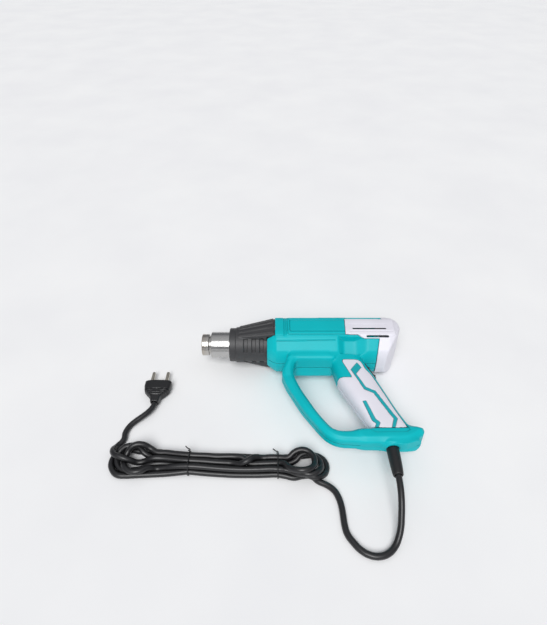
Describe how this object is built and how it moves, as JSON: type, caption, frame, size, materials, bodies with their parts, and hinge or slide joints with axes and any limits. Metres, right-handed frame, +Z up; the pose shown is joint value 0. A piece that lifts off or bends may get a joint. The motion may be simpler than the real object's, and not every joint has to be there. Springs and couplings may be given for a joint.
{
  "type": "heat gun",
  "caption": "Electric hot-air gun with a steel nozzle, a closed D-shaped handle, a rocker switch in the handle's back and a mains lead tied in a hank.",
  "frame": {"origin": "on the floor under the middle of the gun's own box, with the lead, hank and plug left out; the gun lies on its right side", "axes": "+X runs along the barrel from the nozzle to the rear cover, +Y from the handle's foot to the top of the barrel, +Z up, out of the gun's left side"},
  "size_m": [0.36, 0.3065, 0.0711],
  "materials": {
    "housing": "satin moulded",
    "cover_white": "satin moulded",
    "grip_soft": "fine moulded texture",
    "guard_black": "moulded",
    "nozzle_steel": "turned and brushed",
    "plated_steel": "zinc plated",
    "mica": "pressed mica board",
    "winding": "enamelled winding",
    "board": "phenolic board",
    "cord_rubber": "matt",
    "wire_red": "matt",
    "wire_blue": "matt"
  },
  "bodies": {
    "gun": {"housing_left": "housing", "housing_right": "housing", "grip_pad_left": "grip_soft", "grip_pad_right": "grip_soft", "rear_cover": "cover_white", "nozzle_guard": "guard_black", "nozzle_tube": "nozzle_steel", "nozzle_mouth": "nozzle_steel", "heater_tube": "mica", "heater_core": "mica", "heater_coil": "plated_steel", "heater_grille": "mica", "thermal_fuse": "plated_steel", "air_duct": "guard_black", "fan_shroud": "guard_black", "motor_can": "plated_steel", "motor_cap": "guard_black", "motor_magnet_1": "plated_steel", "motor_magnet_2": "plated_steel", "motor_screw_1": "plated_steel", "motor_screw_2": "plated_steel", "rectifier_board": "board", "switch_body": "guard_black", "strain_relief": "cord_rubber", "cord_inner": "cord_rubber", "cord_clamp": "guard_black", "clamp_screw_1": "plated_steel", "clamp_screw_2": "plated_steel", "wire_live": "wire_red", "wire_neutral": "wire_blue", "housing_screw_1": "plated_steel", "housing_screw_2": "plated_steel", "housing_screw_3": "plated_steel", "housing_screw_4": "plated_steel", "housing_screw_5": "plated_steel", "housing_screw_6": "plated_steel", "housing_screw_7": "plated_steel", "housing_screw_8": "plated_steel", "housing_screw_9": "plated_steel", "cord_lead": "cord_rubber", "cord_hank": "cord_rubber", "cord_tie_1": "cord_rubber", "cord_tie_2": "cord_rubber", "cord_tail": "cord_rubber", "plug_body": "cord_rubber", "plug_pin_1": "plated_steel", "plug_pin_2": "plated_steel"},
    "rotor": {"motor_shaft": "plated_steel", "fan_impeller": "guard_black", "motor_armature": "winding"},
    "rocker": {"switch_rocker": "guard_black"}
  },
  "joints": [
    {"name": "rotor_spin", "type": "hinge", "parent": "gun", "child": "rotor", "pos_m": [0.05325, 0.0806, 0.0355], "axis": [1, 0, 0], "continuous": true},
    {"name": "rocker_tilt", "type": "hinge", "parent": "gun", "child": "rocker", "pos_m": [0.08098, 0.02288, 0.0355], "axis": [0, 0, 1], "range_deg": [-10, 10]}
  ]
}
